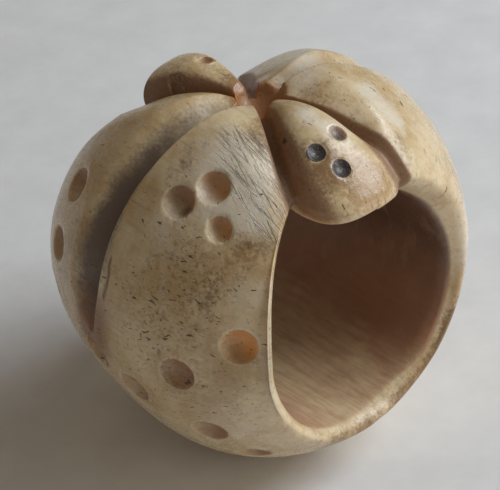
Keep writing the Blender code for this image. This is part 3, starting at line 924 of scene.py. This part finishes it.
# %% Bone colour
BUFF = (0.640, 0.455, 0.230)
CREAM = (0.820, 0.660, 0.415)
LIGHT_CREAM = (0.835, 0.700, 0.480)
STREAK_BROWN = (0.380, 0.235, 0.110)
GRIT_BROWN = (0.440, 0.290, 0.140)
HAIR_BROWN = (0.300, 0.190, 0.095)
WEAR_AND_PAINTED_LIGHT_WHITE = (0.860, 0.780, 0.640)
OCHRE = (0.420, 0.225, 0.062)
STAIN_AND_SHADE_BROWN = (0.225, 0.118, 0.045)
VEIN_RED = (0.250, 0.095, 0.055)
VIOLET = (0.138, 0.102, 0.096)

clouds = noise(in_mm, 0.22, 4.0, 0.6)
patches = noise(in_mm, 0.65, 4.0, 0.6)
streaks = noise(moved("MULTIPLY", in_mm, (1.0, 0.12, 1.0)), 1.6, 4.0, 0.6)
grit = noise(in_mm, 3.2, 4.0, 0.65)

cream = blend(step(clouds, 0.36, 0.64), BUFF, CREAM)
cream = blend(step(patches, 0.42, 0.70, 0.0, 0.55), cream, LIGHT_CREAM)
cream = blend(step(streaks, 0.50, 0.72, 0.0, 0.35), cream, STREAK_BROWN)
cream = blend(step(grit, 0.40, 0.66, 0.0, 0.20), cream, GRIT_BROWN)
hairs = noise(moved("MULTIPLY", in_mm, (3.0, 0.35, 3.0)), 1.5, 3.0, 0.7)
cream = blend(step(hairs, 0.56, 0.74, 0.0, 0.45), cream, HAIR_BROWN)


def ragged(amount, spread=0.5):
    """A layer with a torn edge: noise lifts and lowers it where it is neither none nor full."""
    wobble = sums("MULTIPLY_ADD", sums("SUBTRACT", blend_noise, 0.5), spread * 2, amount)
    return times(step(wobble, 0.15, 0.85), step(amount, 0.0, 0.12))


blend_noise = sums("ADD", times(patches, 0.5), times(grit, 0.5))
# The pale layer: paler worn bone together with painted light and a painted highlight.
colour = blend(times(ragged(number_layer("pale")), 0.8), cream, WEAR_AND_PAINTED_LIGHT_WHITE)
colour = blend(times(ragged(number_layer("ochre"), 0.9), 0.80), colour, OCHRE)
# Brown stains, with the painted shade of the front bud's left flank.
colour = blend(times(ragged(number_layer("brown"), 1.1), 0.85), colour, STAIN_AND_SHADE_BROWN)
colour = blend(times(ragged(number_layer("red")), 0.75), colour, VEIN_RED)
colour = blend(times(ragged(number_layer("violet"), 0.6), 0.85), colour, VIOLET)
print("nodes with the stains:", len(tree.nodes))

# %% [markdown]
# Dirt in the carving
#
# Brown wax and dust stay in the cuts: thick at the bottom of the grooves and in the pit, thinner
# in the drilled dots. In each dot the lower wall, which faces the lamp, is painted pale and the
# upper wall keeps its red brown: painted light over real dirt. A thin cream ring round each dot is
# partly wear and partly a painted highlight on the rim. The dots on the front bud hold grey dust
# with white grains.

# %% Carved dirt
GROOVE_DIRT = (0.270, 0.130, 0.062)
CHAMFER_DIRT = (0.330, 0.205, 0.105)
VALLEY_DIRT = (0.180, 0.115, 0.070)
RIM_CREAM_AND_HIGHLIGHT = (0.880, 0.740, 0.530)
DOT_BROWN = (0.370, 0.170, 0.075)
DOT_ORANGE = (0.900, 0.400, 0.100)
PIT_BROWN = (0.440, 0.200, 0.075)
DARK_DUST = (0.046, 0.042, 0.042)
WHITE_GRAINS = (0.420, 0.400, 0.370)

dirt_edge = sums("ADD", times(grit, 0.35), 0.65)
colour = blend(times(ragged(groove, 0.35), 0.85), colour, GROOVE_DIRT)
colour = blend(times(step(chamfer, 0.1, 0.9), patches, 0.45), colour, CHAMFER_DIRT)
colour = blend(times(ragged(valley, 0.3), 0.55), colour, VALLEY_DIRT)
torn_reach = sums("MULTIPLY_ADD", sums("SUBTRACT", grit, 0.5), 0.12, reach)
hollow = step(torn_reach, 0.93, 1.01, 1.0, 0.0)
pit = step(pit_reach, 0.9, 1.5, 1.0, 0.0)
# A thin cream ring round each dot's rim: partly wear, partly a painted highlight on the rim edge.
rim_wear_and_highlight = times(step(torn_reach, 0.96, 1.02), step(torn_reach, 1.06, 1.16, 1.0, 0.0))
colour = blend(times(rim_wear_and_highlight, 0.3), colour, RIM_CREAM_AND_HIGHLIGHT)
dot_brown = blend(number_layer("orange"), DOT_BROWN, DOT_ORANGE)
# Painted light over real dirt: the dot's brown thins to pale on the wall that faces the lamp and
# stays full on the far wall.
dot_dirt_and_lit_side = times(hollow, dirt_edge, step(number_layer("lit_side"), -0.3, 0.75, 1.0, 0.15))
colour = blend(dot_dirt_and_lit_side, colour, dot_brown)
colour = blend(times(pit, dirt_edge), colour, PIT_BROWN)

bud_dots = times(hollow, number_layer("dust"))
grains = step(noise(in_mm, 7.0, 3.0, 0.7), 0.59, 0.69)
dust = blend(grains, DARK_DUST, WHITE_GRAINS)
colour = blend(times(step(bud_dots, 0.15, 0.6), 0.95), colour, dust)
print("nodes with the dirt:", len(tree.nodes))

# %% [markdown]
# Inside of the bore
#
# The bore is the marrow hollow of the bone, opened with a knife. Its wall is rougher and darker
# than the polished outside and red brown at the sides. High up it is almost black, painted shade,
# and the floor is light buff, painted light where the light falls in. Long scrape marks run
# through it, and a second set crosses them.

# %% Bore colour
WALL_BROWN = (0.420, 0.215, 0.120)
WALL_TOP_SHADE = (0.150, 0.075, 0.046)
SCRAPE_DARK = (0.150, 0.080, 0.046)
LIT_FLOOR_BUFF = (0.780, 0.610, 0.370)
LIT_FLOOR_BROWN = (0.600, 0.430, 0.240)
CROSSED_BROWN = (0.450, 0.300, 0.180)

split = tree.nodes.new("ShaderNodeSeparateXYZ")
plug(split.inputs[0], in_mm)
height = sums("MULTIPLY_ADD", sums("SUBTRACT", clouds, 0.5), 6.0, split.outputs[2])
scrape = noise(moved("MULTIPLY", in_mm, (1.0, 0.16, 1.0)), 1.9, 4.0, 0.6)
slanted = noise(moved("MULTIPLY", in_mm, (0.5, 0.5, 0.16)), 1.4, 4.0, 0.6)
# Painted shade: the wall turns almost black toward the top of the bore.
wall = blend(step(height, 11.0, 20.0), WALL_BROWN, WALL_TOP_SHADE)
wall = blend(step(scrape, 0.45, 0.70, 0.0, 0.15), wall, SCRAPE_DARK)
# Painted light: the lower part of the bore, where light falls in, is light buff with brown scrape
# streaks.
lit_bore_floor = blend(step(scrape, 0.40, 0.66), LIT_FLOOR_BUFF, LIT_FLOOR_BROWN)
bore_colour = blend(step(height, 4.5, 10.5), lit_bore_floor, wall)
bore_colour = blend(step(slanted, 0.52, 0.68, 0.0, 0.35), bore_colour, CROSSED_BROWN)
colour = blend(step(bore, 0.84, 0.99), colour, bore_colour)
print("nodes with the bore:", len(tree.nodes))

# %% [markdown]
# Pores and cracks
#
# Blood vessels leave fine canals in bone. A cut surface shows them as short dark dashes along the
# grain, thick in some places and absent in others. They are cells stretched along the bore: a
# pore is the middle of a cell whose random number is below the local density. A brown halo of
# old grease lies round them, in patches.

# %% Pores
HALO_BROWN = (0.360, 0.200, 0.070)
PORE_DARK = (0.060, 0.034, 0.019)

specks = number_layer("specks")
sway = tree.nodes.new("ShaderNodeTexNoise")
plug(sway.inputs["Vector"], in_mm)
plug(sway.inputs["Scale"], 1.3)
both_ways = moved("SUBTRACT", sway.outputs["Color"], (0.5, 0.5, 0.5))
swayed = moved("ADD", on_skin.outputs[0], moved("SCALE", both_ways, 0.9))
along_grain = moved("MULTIPLY", swayed, (1.0, 0.30, 0.0))
outside = sums("SUBTRACT", 1.0, bore)
far, chance, size = cells(along_grain, 1.9)
pore_size = sums("MULTIPLY_ADD", sums("MULTIPLY", size, size), 0.13, 0.04)
density = sums("MULTIPLY_ADD", specks, 0.72, 0.03)
large_pores = times(step(sums("SUBTRACT", pore_size, far), -0.03, 0.05),
                    sums("LESS_THAN", chance, density), outside)
far, chance, size = cells(along_grain, 4.4)
fine_pores = times(step(sums("SUBTRACT", 0.14, far), -0.05, 0.06),
                   sums("LESS_THAN", chance, sums("MULTIPLY_ADD", specks, 0.35, 0.05)), outside)
pores = sums("MAXIMUM", large_pores, times(fine_pores, 0.6))
pores = sums("MAXIMUM", pores, number_layer("cracks"))
halo = times(specks, step(noise(in_mm, 1.5, 4.0, 0.7), 0.50, 0.66), 0.6)
colour = blend(times(halo, outside), colour, HALO_BROWN)
colour = blend(times(pores, 0.85), colour, PORE_DARK)
print("nodes with the pores:", len(tree.nodes))

# %% [markdown]
# Saw scratches
#
# The bevel beside the front groove still shows the fine teeth of a saw or rasp: dozens of thin
# lines that run steeply down over it, most of them parallel and some a little turned. The place
# is read along and across each direction, and noise drawn out along it gives the lines.

# %% Scratches
SCRATCH_BROWN = (0.170, 0.120, 0.075)
stroke = Vector((-0.196, -0.827, -0.579)).normalized()
face = Vector((-0.45, -0.30, 0.84)).normalized()
cross = face.cross(stroke).normalized()


def saw_lines(turn, per_mm):
    """Thin lines along the stroke, turned a little in the plane of the bevel."""
    run = (stroke + cross * turn).normalized()
    side = face.cross(run).normalized()
    lined = tree.nodes.new("ShaderNodeCombineXYZ")
    plug(lined.inputs[0], times(moved("DOT_PRODUCT", in_mm, tuple(side)), per_mm))
    plug(lined.inputs[1], times(moved("DOT_PRODUCT", in_mm, tuple(run)), 0.24))
    return step(noise(lined.outputs[0], 1.0, 3.0, 0.7), 0.52, 0.64)


zone = times(ragged(number_layer("scratches"), 0.6), sums("SUBTRACT", 1.0, hollow))
cut_lines = times(sums("MAXIMUM", saw_lines(0.0, 5.5), saw_lines(0.3, 7.0)), zone)
colour = blend(times(cut_lines, 0.7), colour, SCRATCH_BROWN)
plug(shader.inputs["Base Color"], colour)
print("nodes with the scratches:", len(tree.nodes))

# %% [markdown]
# Gloss and fine relief
#
# Years of handling have polished the high places almost like glass, while grooves, pits, dots and
# the bore stay dull. A thin clear coat stands for the last rub with wax. Bone lets light in a
# little, so a small share of the light spreads under the skin. The relief adds pores, saw lines,
# scrape marks and the faint waves left by the knife.

# %% Gloss and relief
RELIEF_HEIGHT = 0.12
rough = step(grit, 0.35, 0.70, 0.17, 0.34)
rough = sums("MULTIPLY_ADD", times(patches, step(clouds, 0.3, 0.7)), 0.14, rough)
rough = sums("MULTIPLY_ADD", sums("MAXIMUM", groove, valley), 0.35, rough)
rough = sums("MULTIPLY_ADD", sums("MAXIMUM", hollow, pit), 0.14, rough)
rough = sums("MULTIPLY_ADD", bore, 0.22, rough)
rough = sums("MULTIPLY_ADD", sums("MAXIMUM", pores, cut_lines), 0.2, rough, clamp=True)
plug(shader.inputs["Roughness"], rough)
shader.inputs["IOR"].default_value = 1.54
shader.inputs["Coat Weight"].default_value = 0.2
shader.inputs["Coat Roughness"].default_value = 0.2
shader.inputs["Subsurface Weight"].default_value = 0.25
shader.inputs["Subsurface Radius"].default_value = (1.0, 0.55, 0.28)
shader.inputs["Subsurface Scale"].default_value = 0.0012

relief = times(noise(in_mm, 0.5, 2.0, 0.5), 0.9)
relief = sums("MULTIPLY_ADD", grit, 0.13, relief)
relief = sums("MULTIPLY_ADD", hairs, -0.16, relief)
relief = sums("MULTIPLY_ADD", streaks, 0.14, relief)
relief = sums("MULTIPLY_ADD", times(scrape, bore), 0.5, relief)
relief = sums("MULTIPLY_ADD", pores, -0.75, relief)
relief = sums("MULTIPLY_ADD", cut_lines, -0.35, relief)
relief = sums("MULTIPLY_ADD", times(grit, sums("MAXIMUM", groove, hollow)), 0.35, relief)
bump_node = tree.nodes.new("ShaderNodeBump")
bump_node.inputs["Distance"].default_value = RELIEF_HEIGHT * MM
bump_node.inputs["Strength"].default_value = 1.0
plug(bump_node.inputs["Height"], relief)
plug(shader.inputs["Normal"], bump_node.outputs[0])
bone.data.materials.append(ivory)
print("nodes in the finish:", len(tree.nodes))
